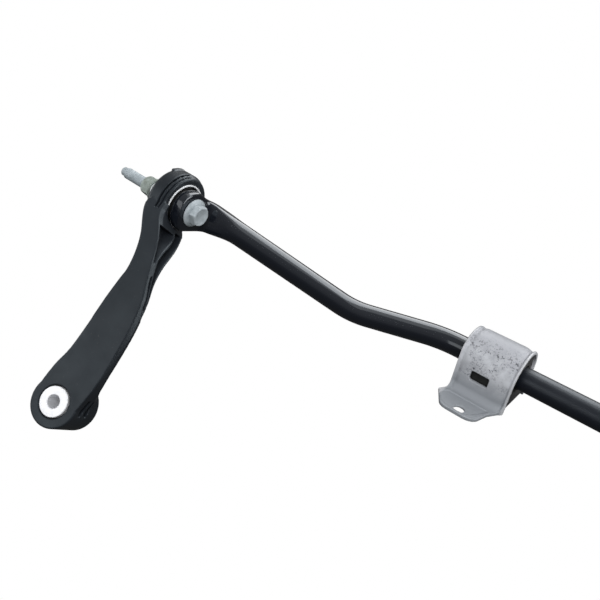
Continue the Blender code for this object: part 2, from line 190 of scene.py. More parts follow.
def bakeModifiers(thing):
    # the evaluated mesh as a plain one, and the work object gone
    view = bpy.context.evaluated_depsgraph_get()
    view.update()
    mesh = bpy.data.meshes.new_from_object(thing.evaluated_get(view))
    bpy.data.objects.remove(thing)
    return mesh


def cutAndJoin(name, mesh, steps):
    # a solid mesh after a list of (operation, other solid)
    base = workObject(name, mesh)
    helpers = []
    for k, (operation, other) in enumerate(steps):
        helper = workObject(f"{name}{k}", rawMesh(name, other))
        helpers.append(helper)
        step = base.modifiers.new(helper.name, "BOOLEAN")
        step.operation = operation
        step.solver = "EXACT"
        step.object = helper
    made = bakeModifiers(base)
    for helper in helpers:
        bpy.data.objects.remove(helper)
    return made


def mouldSkin(mesh, voxel, rounds, keep):
    # an even skin with soft edges, as a mould leaves them
    thing = workObject("skin", mesh)
    even = thing.modifiers.new("even", "REMESH")
    even.mode = "VOXEL"
    even.voxel_size = voxel * mm
    even.use_smooth_shade = True
    ease = thing.modifiers.new("ease", "SMOOTH")
    ease.factor = 0.5
    ease.iterations = rounds
    thin = thing.modifiers.new("thin", "DECIMATE")
    thin.ratio = keep
    return bakeModifiers(thing)


def mirrorMesh(mesh, name):
    bm = bmesh.new()
    bm.from_mesh(mesh)
    bmesh.ops.scale(bm, vec=(-1, 1, 1), verts=bm.verts)
    bmesh.ops.reverse_faces(bm, faces=bm.faces)
    twin = bpy.data.meshes.new(name)
    bm.to_mesh(twin)
    bm.free()
    return twin


def addPiece(name, mesh, finish, body, node):
    mesh.materials.clear()
    mesh.materials.append(finishes[finish])
    piece = workObject(name, mesh)
    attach(piece, body)
    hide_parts(node)


def addPair(name, mesh, finish, body, node):
    # a left piece and its mirror image; {} in a name stands for the side
    twin = mirrorMesh(mesh, name + "Right")
    addPiece(name + "Right", twin, finish, body.format("right"), node.format("right"))
    addPiece(name + "Left", mesh, finish, body.format("left"), node.format("left"))


# Materials

def setSocket(tree, socket, value):
    if isinstance(value, bpy.types.NodeSocket):
        tree.links.new(value, socket)
    else:
        socket.default_value = value


def feed(tree, node, **inputs):
    # sets or links inputs by name, with underscores for spaces
    for name, value in inputs.items():
        setSocket(tree, node.inputs[name.replace("_", " ")], value)


def addNode(tree, kind, settings=None, **inputs):
    node = tree.nodes.new(kind)
    for name, value in (settings or {}).items():
        setattr(node, name, value)
    feed(tree, node, **inputs)
    return node


def newFinish(name, colour, roughness, metallic=0.0):
    finish = bpy.data.materials.new(name)
    finish.use_nodes = True
    tree = finish.node_tree
    shader = tree.nodes["Principled BSDF"]
    feed(tree, shader, Base_Color=(*colour, 1), Roughness=roughness, Metallic=metallic)
    return finish, tree, shader


def objectSpace(tree):
    return addNode(tree, "ShaderNodeTexCoord").outputs["Object"]


def placedSpace(tree, place):
    # a piece's own axes, in millimetres, from the place it was built at
    inverse = place.inverted()
    turn = addNode(
        tree, "ShaderNodeMapping", Vector=objectSpace(tree), Scale=(1 / mm,) * 3,
        Rotation=inverse.to_euler(), Location=inverse.translation)
    return turn.outputs["Vector"]


def noise(tree, space, scale, detail=3.0, roughness=0.5):
    sizes = {"Scale": scale, "Detail": detail, "Roughness": roughness}
    return addNode(tree, "ShaderNodeTexNoise", Vector=space, **sizes).outputs["Fac"]


def ramp(tree, value, stops):
    # stops are (place, grey or colour)
    made = addNode(tree, "ShaderNodeValToRGB", Fac=value)
    elements = made.color_ramp.elements
    while len(elements) < len(stops):
        elements.new(0.5)
    for element, (place, colour) in zip(elements, stops):
        element.position = place
        element.color = (*colour, 1) if isinstance(colour, tuple) else (colour, colour, colour, 1)
    return made.outputs["Color"]


def remap(tree, value, fromLow, fromHigh, low, high):
    ends = {"From_Min": fromLow, "From_Max": fromHigh, "To_Min": low, "To_Max": high}
    return addNode(tree, "ShaderNodeMapRange", Value=value, **ends).outputs["Result"]


def maths(tree, operation, first, second=0.0):
    made = addNode(tree, "ShaderNodeMath", {"operation": operation})
    for socket, value in zip(made.inputs, (first, second)):
        setSocket(tree, socket, value)
    return made.outputs["Value"]


def vectors(tree, operation, first, second):
    made = addNode(tree, "ShaderNodeVectorMath", {"operation": operation}, Vector=first)
    setSocket(tree, made.inputs["Scale"] if operation == "SCALE" else made.inputs[1], second)
    return made.outputs["Vector"]


def mixColours(tree, factor, first, second):
    made = addNode(tree, "ShaderNodeMix", {"data_type": "RGBA"})
    sockets = {socket.identifier: socket for socket in made.inputs}
    for name, value in (("Factor_Float", factor), ("A_Color", first), ("B_Color", second)):
        setSocket(tree, sockets[name], (*value, 1) if isinstance(value, tuple) else value)
    return next(socket for socket in made.outputs if socket.identifier == "Result_Color")


def bump(tree, shader, height, distance, strength=1.0):
    made = addNode(tree, "ShaderNodeBump", Height=height, Distance=distance * mm, Strength=strength)
    feed(tree, shader, Normal=made.outputs["Normal"])


def part(tree, space, axis):
    return addNode(tree, "ShaderNodeSeparateXYZ", Vector=space).outputs[axis]


enamel = {
    "colour": (0.0045, 0.0055, 0.0085),
    "worn": (0.012, 0.013, 0.016),
    "gloss": 0.13,
    "satin": 0.36,
    "coat": 0.5,
    "satinFrom": 0.285,  # metres from the car's middle; the paint is duller inside this
}


def barEnamel():
    finish, tree, shader = newFinish("barEnamel", enamel["colour"], enamel["gloss"])
    space = objectSpace(tree)
    grain = addNode(tree, "ShaderNodeAttribute", {"attribute_name": "barGrain"}).outputs["Vector"]
    fromMiddle = maths(tree, "ABSOLUTE", part(tree, space, "X"))
    dull = remap(tree, fromMiddle, enamel["satinFrom"], enamel["satinFrom"] - 0.02, 0.0, 1.0)
    rough = remap(tree, dull, 0.0, 1.0, enamel["gloss"], enamel["satin"])
    mottle = remap(tree, noise(tree, space, 60.0), 0.35, 0.7, -0.03, 0.06)
    scuffs = remap(tree, noise(tree, space, 210.0, 5.0, 0.7), 0.66, 0.72, 0.0, 0.7)
    feed(
        tree, shader, Base_Color=mixColours(tree, scuffs, enamel["colour"], enamel["worn"]),
        Roughness=maths(tree, "ADD", rough, mottle), IOR=1.6, Specular_Tint=(0.84, 0.92, 1.0, 1),
        Coat_Weight=remap(tree, dull, 0.0, 1.0, enamel["coat"], 0.0), Coat_Roughness=0.06)
    bump(tree, shader, noise(tree, grain, 1.0, 2.0, 0.6), 0.20, 0.6)
    return finish


plastic = {
    "colour": (0.0075, 0.0090, 0.0115),
    "light": (0.0125, 0.0150, 0.0185),
    "roughness": 0.40,
}


def linkPlastic():
    finish, tree, shader = newFinish("linkPlastic", plastic["colour"], plastic["roughness"])
    space = objectSpace(tree)
    cloud = noise(tree, space, 22.0, 3.0, 0.55)
    colour = ramp(tree, cloud, ((0.35, plastic["colour"]), (0.68, plastic["light"])))
    specks = remap(tree, noise(tree, space, 420.0, 2.0), 0.70, 0.76, 0.0, 0.5)
    middle = plastic["roughness"]
    feed(
        tree, shader, Base_Color=mixColours(tree, specks, colour, (0.05, 0.05, 0.05)),
        Roughness=remap(tree, noise(tree, space, 45.0, 4.0), 0.3, 0.7, middle - 0.07, middle + 0.08),
        Specular_Tint=(0.80, 0.92, 1.0, 1))
    bump(tree, shader, noise(tree, space, 1500.0, 2.0), 0.05, 0.35)
    return finish


def bushRubber():
    finish, tree, shader = newFinish("bushRubber", (0.006, 0.006, 0.0065), 0.7)
    space = objectSpace(tree)
    bloom = noise(tree, space, 90.0, 4.0)
    colour = ramp(tree, bloom, ((0.4, (0.003, 0.003, 0.0035)), (0.8, (0.012, 0.013, 0.012))))
    feed(tree, shader, Base_Color=colour, Roughness=remap(tree, bloom, 0.3, 0.7, 0.62, 0.8))
    bump(tree, shader, noise(tree, space, 1200.0), 0.06, 0.5)
    return finish


def turnedMetal(name, colours, roughness, metallic, place, pitch, streak):
    # rings left by a cutting tool, about the place's own axis
    colour, dark = colours
    finish, tree, shader = newFinish(name, colour, roughness, metallic)
    space = placedSpace(tree, place)
    flat = vectors(tree, "MULTIPLY", space, (1, 1, 0))
    far = addNode(tree, "ShaderNodeVectorMath", {"operation": "LENGTH"}, Vector=flat).outputs["Value"]
    rings = addNode(tree, "ShaderNodeTexNoise", {"noise_dimensions": "1D"}, W=far, Scale=1 / pitch)
    rings = rings.outputs["Fac"]
    cloud = noise(tree, space, 0.35)
    tone = maths(tree, "ADD", maths(tree, "MULTIPLY", rings, streak), maths(tree, "MULTIPLY", cloud, 0.5))
    feed(
        tree, shader, Base_Color=mixColours(tree, remap(tree, tone, 0.2, 0.9, 0.0, 1.0), dark, colour),
        Roughness=remap(tree, cloud, 0.3, 0.7, roughness - 0.05, roughness + 0.08))
    bump(tree, shader, rings, 0.03, 0.4)
    return finish


def zincPlate(name, colour, dark, roughness, metallic):
    # crystals and small stains of a plated fastener
    finish, tree, shader = newFinish(name, colour, roughness, metallic)
    space = objectSpace(tree)
    grains = addNode(tree, "ShaderNodeTexVoronoi", Vector=space, Scale=900.0).outputs["Distance"]
    stain = noise(tree, space, 170.0, 5.0, 0.65)
    stained = remap(tree, stain, 0.35, 0.7, 0.0, 0.8)
    shade = maths(tree, "ADD", maths(tree, "MULTIPLY", grains, 0.5), stained)
    feed(
        tree, shader, Base_Color=mixColours(tree, shade, colour, dark),
        Roughness=remap(tree, stain, 0.3, 0.7, roughness - 0.08, roughness + 0.1))
    bump(tree, shader, noise(tree, space, 1100.0, 2.0), 0.05, 0.35)
    return finish


castMetal = {
    "colour": (0.45, 0.465, 0.495),
    "shade": (0.30, 0.31, 0.335),
    "foot": (0.215, 0.23, 0.25),
    "rim": (0.44, 0.45, 0.47),
    "speck": (0.05, 0.05, 0.06),
    "roughness": 0.48,
    "metallic": 0.12,
}


def bracketMetal():
    finish, tree, shader = newFinish(
        "bracketAluminium", castMetal["colour"], castMetal["roughness"], castMetal["metallic"])
    space = objectSpace(tree)
    height = part(tree, space, "Z")
    cloud = noise(tree, space, 75.0, 4.0, 0.6)
    colour = ramp(tree, cloud, ((0.34, castMetal["shade"]), (0.62, castMetal["colour"])))
    # painted shade: the feet and the very top of the dome are darkened by height, standing in for how the
    # light falls on them
    colour = mixColours(tree, remap(tree, height, 0.032, 0.010, 0.0, 1.0), colour, castMetal["foot"])
    colour = mixColours(tree, remap(tree, height, 0.046, 0.058, 0.0, 1.0), colour, castMetal["shade"])
    # scuffs gather in patches on the dome
    patches = remap(tree, noise(tree, space, 45.0, 2.0), 0.40, 0.54, 0.0, 1.0)
    aboveFeet = remap(tree, height, 0.016, 0.026, 0.0, 1.0)
    belowTop = remap(tree, height, 0.060, 0.052, 0.0, 1.0)
    marks = addNode(
        tree, "ShaderNodeTexNoise", Vector=space, Scale=340.0, Detail=6.0, Roughness=0.75, Distortion=1.2)
    specks = remap(tree, marks.outputs["Fac"], 0.535, 0.585, 0.0, 1.0)
    for limit in (patches, maths(tree, "MULTIPLY", aboveFeet, belowTop)):
        specks = maths(tree, "MULTIPLY", specks, limit)
    colour = mixColours(tree, maths(tree, "MULTIPLY", specks, 0.85), colour, castMetal["speck"])
    # painted highlight: the rolled rims get a lighter tone than the painted shade beside them, and a
    # glossier finish
    fromMiddle = maths(tree, "ABSOLUTE", part(tree, space, "X"))
    outer = remap(tree, fromMiddle, 0.2735, 0.2755, 0.0, 1.0)
    inner = remap(tree, fromMiddle, 0.2205, 0.2185, 0.0, 1.0)
    rimHighlight = maths(tree, "MULTIPLY", maths(tree, "MAXIMUM", outer, inner), 0.8)
    rough = remap(tree, cloud, 0.3, 0.7, castMetal["roughness"] - 0.06, castMetal["roughness"] + 0.06)
    rough = maths(tree, "ADD", rough, maths(tree, "MULTIPLY", specks, 0.3))
    feed(
        tree, shader, Base_Color=mixColours(tree, rimHighlight, colour, castMetal["rim"]), Specular_IOR_Level=0.25,
        Roughness=maths(tree, "SUBTRACT", rough, maths(tree, "MULTIPLY", rimHighlight, 0.14)))
    bump(tree, shader, maths(tree, "SUBTRACT", noise(tree, space, 700.0), specks), 0.07, 0.5)
    return finish


finishes = {
    "barEnamel": barEnamel(),
    "linkPlastic": linkPlastic(),
    "bushRubber": bushRubber(),
    "bracketAluminium": bracketMetal(),
    "boltZinc": zincPlate("boltZinc", (0.39, 0.43, 0.46), (0.26, 0.30, 0.32), 0.58, 0.15),
    "nutZinc": zincPlate("nutZinc", (0.37, 0.43, 0.41), (0.22, 0.25, 0.22), 0.46, 0.50),
}
for side in ("left", "right"):
    finishes["sleeve" + side] = turnedMetal(
        "sleeveAluminium" + side.title(), ((0.94, 0.95, 0.97), (0.84, 0.85, 0.88)), 0.38, 0.6,
        sleevePlaces[side], 0.22, 0.3)
    finishes["steel" + side] = turnedMetal(
        "bushSteel" + side.title(), ((0.88, 0.91, 0.93), (0.70, 0.72, 0.74)), 0.34, 0.25,
        boltPlaces[side], 0.30, 0.5)
print("finishes:", len(finishes))


# Bar: one swept skin whose section goes from round to a flat eye

bar = {
    "radius": 12.0,
    "innerBend": (-305.9, 0.0, 31.0, 75.0),  # corner of the centre line and its bend radius
    "outerBend": (-390.2, -49.0, 36.5, 90.0),
    "armEnd": (-530.1, -139.5, 112.4, 17.0),
    "eyeRadius": 19.5,
    "eyeThick": 11.0,
    "eyeFlat": 13.0,
    "neckLength": 50.0,
    "upperFlare": 23.0,
    "holeRadius": 6.4,
    "tipPower": 2.6,
    "lowEdge": 21.0,  # the eye is a little fuller below its hole
    "sides": 56,
    "bendStep": 2.5,
}


def routeStations(corners, step):
    # points and ways along straight runs and round bends
    ends = [Vector(corner[:3]) for corner in corners]
    route = [(ends[0], (ends[1] - ends[0]).normalized())]
    for k in range(1, len(corners) - 1):
        radius = corners[k][3]
        before = (ends[k] - ends[k - 1]).normalized()
        after = (ends[k + 1] - ends[k]).normalized()
        turn = before.angle(after)
        start = ends[k] - before * radius * math.tan(turn / 2)
        side = (after - before * after.dot(before)).normalized()
        gap = (start - route[-1][0]).length
        for i in range(1, max(1, round(gap / 4.0))):
            route.append((route[-1][0] + before * 4.0, before))
        steps = max(3, math.ceil(turn / math.radians(step)))
        for i in range(steps + 1):
            angle = turn * i / steps
            point = start + before * radius * math.sin(angle) + side * radius * (1 - math.cos(angle))
            route.append((point, before * math.cos(angle) + side * math.sin(angle)))
    last = (ends[-1] - ends[-2]).normalized()
    gap = (ends[-1] - route[-1][0]).length
    for i in range(1, 8):
        route.append((route[-1][0] + last * gap / 8, last))
    route.append((ends[-1], last))
    return route


def tipWidth(out):
    # the forged tip is squarer than a circle
    return (1 - out ** bar["tipPower"]) ** (1 / bar["tipPower"])


def halfBarStations():
    middle = (0.0, twistPoint.y, twistPoint.z)
    corners = [middle, bar["innerBend"], bar["outerBend"], bar["armEnd"], tuple(barEye)]
    route = routeStations(corners, bar["bendStep"])
    toEye = route[-1][1]
    toEye = (toEye - boltWay * toEye.dot(boltWay)).normalized()
    widthWay = boltWay.cross(toEye)
    route[-1] = (route[-1][0], toEye)
    lengths = [0.0]
    for (a, _), (b, _) in zip(route, route[1:]):
        lengths.append(lengths[-1] + (b - a).length)
    stations = []
    for (point, way), length in zip(route, lengths):
        toGo = lengths[-1] - length
        flat = softStep(1 - (toGo - bar["eyeFlat"]) / bar["neckLength"])
        late = softStep(1 - toGo / bar["upperFlare"])
        lower = bar["radius"] + (bar["lowEdge"] - bar["radius"]) * flat
        upper = bar["radius"] + (bar["eyeRadius"] - bar["radius"]) * late
        thick = bar["radius"] + (bar["eyeThick"] / 2 - bar["radius"]) * flat
        wide = (widthWay - way * widthWay.dot(way)).normalized()
        stations.append({
            "centre": point + widthWay * (lower - upper) / 2, "widthWay": wide, "thickWay": way.cross(wide),
            "wide": (lower + upper) / 2, "thick": thick, "square": 2 + 4 * flat, "along": length})
    half = (bar["eyeRadius"] + bar["lowEdge"]) / 2
    tipCentre = barEye + widthWay * (bar["lowEdge"] - bar["eyeRadius"]) / 2
    for k in range(1, 15):
        angle = math.radians(84) * math.sin(math.radians(90) * k / 14)
        stations.append({
            "centre": tipCentre + toEye * bar["eyeRadius"] * math.sin(angle), "widthWay": widthWay,
            "thickWay": toEye.cross(widthWay), "wide": half * tipWidth(math.sin(angle)),
            "thick": bar["eyeThick"] / 2, "square": 6.0, "along": lengths[-1] + 20 * math.sin(angle)})
    return stations


def barStations():
    left = halfBarStations()
    right = []
    for station in left[1:]:
        twin = dict(station)
        twin["centre"] = flipX(station["centre"])
        twin["widthWay"] = flipX(station["widthWay"])
        twin["thickWay"] = flipX(station["thickWay"])
        twin["along"] = -station["along"]
        right.append(twin)
    return left[::-1] + right


def addSocket(tree, name, kind, way="INPUT"):
    return tree.interface.new_socket(name=name, in_out=way, socket_type=kind).identifier


def endTree(tree, geometry, finish, result):
    # real geometry in its own finish
    real = addNode(tree, "GeometryNodeRealizeInstances", Geometry=geometry)
    painted = addNode(tree, "GeometryNodeSetMaterial", Geometry=real.outputs["Geometry"], Material=finish)
    feed(tree, tree.nodes.new("NodeGroupOutput"), **{result: painted.outputs["Geometry"]})


def sectionSweep():
    # sweeps a rounded section along a route; each route point holds its own section's size and turn
    tree = bpy.data.node_groups.new("sectionSweep", "GeometryNodeTree")
    addSocket(tree, "Route", "NodeSocketGeometry")
    sockets = {"sides": addSocket(tree, "Sides", "NodeSocketInt")}
    sockets["finish"] = addSocket(tree, "Finish", "NodeSocketMaterial")
    addSocket(tree, "Skin", "NodeSocketGeometry", "OUTPUT")
    given = tree.nodes.new("NodeGroupInput").outputs
    line = addNode(tree, "GeometryNodeMeshToCurve", Mesh=given["Route"])
    circle = addNode(tree, "GeometryNodeCurvePrimitiveCircle", Radius=1.0, Resolution=given["Sides"])
    hold = tree.nodes.new("GeometryNodeCaptureAttribute")
    hold.capture_items.new("VECTOR", "Round")
    spot = addNode(tree, "GeometryNodeInputPosition").outputs["Position"]
    feed(tree, hold, Geometry=circle.outputs["Curve"], Round=spot)
    sweep = addNode(
        tree, "GeometryNodeCurveToMesh", Curve=line.outputs["Curve"],
        Profile_Curve=hold.outputs["Geometry"], Fill_Caps=True)
    split = addNode(tree, "ShaderNodeSeparateXYZ", Vector=hold.outputs["Round"])

    def named(name, kind="FLOAT"):
        reader = addNode(tree, "GeometryNodeInputNamedAttribute", {"data_type": kind}, Name=name)
        return reader.outputs["Attribute"]

    power = maths(tree, "DIVIDE", 2.0, named("square"))

    def reach(axis, size, way):
        away = maths(tree, "POWER", maths(tree, "ABSOLUTE", split.outputs[axis]), power)
        away = maths(tree, "MULTIPLY", maths(tree, "SIGN", split.outputs[axis]), away)
        away = maths(tree, "MULTIPLY", away, named(size))
        return vectors(tree, "SCALE", named(way, "FLOAT_VECTOR"), away)

    offset = vectors(tree, "ADD", reach("X", "wide", "widthWay"), reach("Y", "thick", "thickWay"))
    put = addNode(
        tree, "GeometryNodeSetPosition", Geometry=sweep.outputs["Mesh"],
        Position=vectors(tree, "ADD", named("centre", "FLOAT_VECTOR"), offset))
    # the grain runs along the bar: one slow coordinate, two fast ones
    across = vectors(tree, "SCALE", hold.outputs["Round"], 7.0)
    across = addNode(tree, "ShaderNodeSeparateXYZ", Vector=across)
    grain = addNode(
        tree, "ShaderNodeCombineXYZ", X=maths(tree, "MULTIPLY", named("along"), 6.0),
        Y=across.outputs["X"], Z=across.outputs["Y"])
    store = addNode(
        tree, "GeometryNodeStoreNamedAttribute", {"data_type": "FLOAT_VECTOR"}, Name="barGrain",
        Geometry=put.outputs["Geometry"], Value=grain.outputs["Vector"])
    endTree(tree, store.outputs["Geometry"], given["Finish"], "Skin")
    return tree, sockets


stationNumbers = ("wide", "thick", "square", "along")
stationVectors = ("centre", "widthWay", "thickWay")


def makeBar():
    stations = barStations()
    mesh = bpy.data.meshes.new("barRoute")
    edges = [(k, k + 1) for k in range(len(stations) - 1)]
    mesh.from_pydata([station["centre"] * mm for station in stations], edges, [])
    for name in stationNumbers:
        scale = 1.0 if name == "square" else mm
        values = mesh.attributes.new(name, "FLOAT", "POINT")
        values.data.foreach_set("value", [station[name] * scale for station in stations])
    for name in stationVectors:
        scale = mm if name == "centre" else 1.0
        values = mesh.attributes.new(name, "FLOAT_VECTOR", "POINT")
        flat = [number * scale for station in stations for number in station[name]]
        values.data.foreach_set("vector", flat)
    thing = workObject("barSweep", mesh)
    tree, sockets = sectionSweep()
    sweep = thing.modifiers.new("sweep", "NODES")
    sweep.node_group = tree
    sweep[sockets["sides"]] = bar["sides"]
    sweep[sockets["finish"]] = finishes["barEnamel"]
    skin = bakeModifiers(thing)
    for name in stationNumbers + stationVectors:
        if name in skin.attributes:
            skin.attributes.remove(skin.attributes[name])
    whole = bmesh.new()
    whole.from_mesh(skin)
    bmesh.ops.remove_doubles(whole, verts=whole.verts, dist=1e-7)
    bmesh.ops.recalc_face_normals(whole, faces=whole.faces)
    whole.to_mesh(skin)
    whole.free()
    deep, rim = bar["eyeThick"] / 2, 0.5
    hole = [(0, -deep - 2), (bar["holeRadius"] + rim + 2, -deep - 2), (bar["holeRadius"], -deep + rim)]
    hole += [(bar["holeRadius"], deep - rim), (bar["holeRadius"] + rim + 2, deep + 2), (0, deep + 2)]
    steps = []
    for place in boltPlaces.values():
        drill = turnedBody(hole, 48)
        drill.transform(place)
        steps.append(("DIFFERENCE", drill))
    return smoothed(cutAndJoin("bar", skin, steps), "bar", 35)


addPiece("swayBar", makeBar(), "barEnamel", "bar", "stabiliser_bar")
print("bar swept")


# Link: two eyes on a curved arm, with moulded pockets in both long sides

link = {
    "front": 29.0,
    "draft": 2.6,  # how far the front face's inboard edge stands back from the side
    "stations": (  # down, outboard edge, inboard edge, back face, inset of the back's edges
        (9, -5.0, 11.9, -18.0, 1.0),
        (13, -7.6, 12.0, -18.0, 1.0),
        (17, -9.2, 12.4, -20.0, 1.0),
        (24, -7.2, 15.8, -17.5, 1.0),
        (32, -2.6, 22.0, -10.0, 1.0),
        (45, 5.8, 29.8, 0.5, 1.0),
        (60, 12.0, 36.2, 9.0, 1.2),
        (78, 16.0, 43.8, 14.5, 1.8),
        (95, 15.5, 51.5, 17.0, 2.8),
        (120, 15.5, 57.5, 18.0, 4.5),
        (145, 16.5, 60.3, 17.5, 5.0),
        (168, 16.0, 61.0, 14.5, 4.5),
        (185, 13.0, 60.6, 8.0, 4.5),
        (200, 12.0, 59.4, 0.0, 3.6),
        (209, 11.8, 58.2, -4.8, 2.5),
    ),
    "flare": 4.2,  # how far the back flange stands out past the front below the upper eye
    "upperRadius": 31.0,
    "upperRim": 29.2,
    "upperSpan": (-9.5, 12.0),  # along the bolt, from the link's origin
    "boreRadius": 22.8,
    "lowerRadius": 23.9,
    "lowerBack": 18.0,
    "lowerBore": 18.7,
    "lipBore": 15.0,  # a thin lip of the link covers the rubber's front
    "lipThick": 1.6,
    "voxel": 0.62,
}


def curveThrough(rows, down):
    # a smooth value of every column at one distance down
    k = 0
    while k < len(rows) - 2 and rows[k + 1][0] < down:
        k += 1
    before, start, end, after = (rows[min(max(i, 0), len(rows) - 1)] for i in (k - 1, k, k + 1, k + 2))
    t = (down - start[0]) / (end[0] - start[0])
    values = []
    for column in range(1, len(start)):
        slopeIn = (end[column] - before[column]) / (end[0] - before[0]) * (end[0] - start[0])
        slopeOut = (after[column] - start[column]) / (after[0] - start[0]) * (end[0] - start[0])
        h00 = 2 * t ** 3 - 3 * t ** 2 + 1
        h10 = t ** 3 - 2 * t ** 2 + t
        h01 = 3 * t ** 2 - 2 * t ** 3
        h11 = t ** 3 - t ** 2
        values.append(h00 * start[column] + h10 * slopeIn + h01 * end[column] + h11 * slopeOut)
    return values


def armBody():
    rows = link["stations"]
    front = link["front"]
    rings = []
    steps = 64
    for k in range(steps + 1):
        down = rows[0][0] + (rows[-1][0] - rows[0][0]) * k / steps
        outboard, inboard, back, inset = curveThrough(rows, down)
        lean = link["draft"] * (1 - softStep((down - 130) / 60))
        shoulder = front - 5.0
        flare = link["flare"] * softStep((down - 16) / 9) * (1 - softStep((down - 34) / 46))
        ring = [(outboard + inset, back), (inboard + flare - inset, back)]
        ring.append((inboard + flare * 0.8, max(back + 2.0, 0.5 * (back + shoulder))))
        ring += [(inboard, shoulder), (inboard - lean, front)]
        ring += [(outboard + 0.8, front), (outboard, shoulder)]
        rings.append([(x, -down, z) for x, z in ring])
    return ringLoft(rings)


eyeFace = 12.5  # grooves stop here, beside the upper eye


def edgeGroove(rows, side, depth):
    # a groove that follows one long side; rows are (down, back wall, front wall)
    rings = []
    for k in range(41):
        down = rows[0][0] + (rows[-1][0] - rows[0][0]) * k / 40
        low, high = curveThrough(rows, down)
        outboard, inboard = curveThrough(link["stations"], down)[:2]
        edge, out = (inboard, 1) if side == "inboard" else (outboard, -1)
        near, far = edge - out * depth, edge + out * 9
        if side == "inboard":
            near = max(near, eyeFace)
        corners = ((near, low), (far, low - 0.4), (far, high + 0.4), (near, high))
        rings.append([(x, -down, z) for x, z in corners])
    return ringLoft(rings)


def faceBox(across, down, through):
    x0, x1 = across
    z0, z1 = through
    corners = [(x0, -down[0]), (x1, -down[0]), (x1, -down[1]), (x0, -down[1])]
    return prismBody(softCorners(corners, 1.5, 3), z0, z1)


def ringSlot(innerRadius, outerRadius, low, high, startDegrees, endDegrees):
    # a groove part of the way round the upper eye
    rings = []
    for k in range(33):
        angle = math.radians(startDegrees + (endDegrees - startDegrees) * k / 32)
        corners = ((innerRadius, low), (outerRadius, low), (outerRadius, high), (innerRadius, high))
        rings.append([(r * math.cos(angle), r * math.sin(angle), z) for r, z in corners])
    return ringLoft(rings)


sideGrooves = (  # long side, depth, rows
    ("inboard", 10.0, ((29, 4.0, 26.6), (37, 11.0, 26.9), (46, 18.2, 26.9), (56, 23.6, 26.6),
                       (63, 25.6, 26.3))),
    ("inboard", 7.0, ((73, 24.0, 25.4), (92, 23.5, 25.1), (107, 23.2, 24.3))),
    ("inboard", 10.0, ((26, -12.5, 0.5), (31, -8.0, 2.6), (35, -4.6, 5.6), (39, -1.4, 8.8),
                       (45, 2.8, 14.0), (52, 7.4, 18.8), (60, 11.8, 21.6), (70, 15.2, 22.2),
                       (78, 17.2, 22.2), (92, 19.4, 22.0), (104, 20.4, 21.8), (112, 20.8, 21.4))),
    ("outboard", 5.5, ((44, 8.5, 23.5), (52, 12.5, 24.2), (62, 15.8, 24.6), (80, 19.6, 24.8),
                       (106, 21.4, 24.6))),
    ("outboard", 5.5, ((114, 21.6, 24.6), (140, 21.4, 24.8), (160, 20.0, 24.8), (178, 16.0, 24.6))),
)
backPockets = (  # across, down
    ((25, 42), (86, 101)), ((25, 48), (106, 122)), ((27, 50), (127, 143)), ((28, 51), (148, 163)))


def makeLink():
    into = linkPlace.inverted()
    low = into @ sleevePoint
    face = link["front"] - low.z
    turn = into.to_3x3()
    alongBolt = axisPlace(Vector((0, 0, 0)), turn @ -boltWay, turn @ upWay)
    barEnd, farEnd = -link["upperSpan"][1], -link["upperSpan"][0]
    rim, wall = link["upperRim"], link["upperRadius"]
    eye = [(0, barEnd), (rim - 1.6, barEnd), (rim, barEnd + 1.4), (rim + 0.5, barEnd + 3.8)]
    eye += [(wall, barEnd + 5.4), (wall, farEnd - 4.2), (rim + 0.3, farEnd - 1.0)]
    eye += [(rim - 1.2, farEnd), (0, farEnd)]
    back = -link["lowerBack"]
    wide = link["lowerRadius"]
    lower = [(0, back), (wide - 0.9, back), (wide, back + 0.9)]
    lower += [(wide, face - 0.8), (wide - 0.8, face), (0, face)]
    joined = (
        (turnedBody(eye, 96), alongBolt),
        (ringSlot(27.0, 31.7, farEnd - 4.4, farEnd - 0.6, -6, 20), alongBolt),
        (ringSlot(27.0, 31.9, barEnd + 1.0, barEnd + 5.0, -97, -88), alongBolt),
        (turnedBody(lower, 96), Matrix.Translation(low)),
    )
    slots = ((9.2, 10.7), (12.4, 14.2))  # from the middle of the bar's eye
    cut = [(ringSlot(26.8, 36, a - eyeToLinkTop, b - eyeToLinkTop, -84, 12), alongBolt) for a, b in slots]
    bore, lowBore = link["boreRadius"], link["lowerBore"]
    cut.append((turnedBody([(0, -40), (bore, -40), (bore, 40), (0, 40)], 96), alongBolt))
    lip, lipBore = face - link["lipThick"], link["lipBore"]
    lowerHole = [(0, -40), (lowBore, -40), (lowBore, lip), (lipBore, lip), (lipBore, 40), (0, 40)]
    cut.append((turnedBody(lowerHole, 96), Matrix.Translation(low)))
    steps = []
    for body, place in joined:
        body.transform(place)
        steps.append(("UNION", body))
    for body, place in cut:
        body.transform(place)
        steps.append(("DIFFERENCE", body))
    for side, depth, rows in sideGrooves:
        steps.append(("DIFFERENCE", edgeGroove(rows, side, depth)))
    for through in ((17.5, 22), (8.5, 14)):
        steps.append(("DIFFERENCE", faceBox((55.2, 75), (195, 212), through)))
    for across, down in backPockets:
        steps.append(("DIFFERENCE", faceBox(across, down, (5, link["front"] - 6.5))))
    crisp = cutAndJoin("link", rawMesh("link", armBody()), steps)
    voxel = link["voxel"] * 1.0
    skin = mouldSkin(crisp, voxel, 4, 0.42)
    skin.transform(Matrix.Translation(linkTop * mm) @ linkPlace.to_3x3().to_4x4())
    return smoothed(skin, "link", 60)


linkMesh = makeLink()
print("link:", len(linkMesh.polygons), "faces")
addPair("link", linkMesh, "linkPlastic", "link_{}", "link_body_{}")


# Bracket: a strap over the bushing with a foot in front and a foot behind

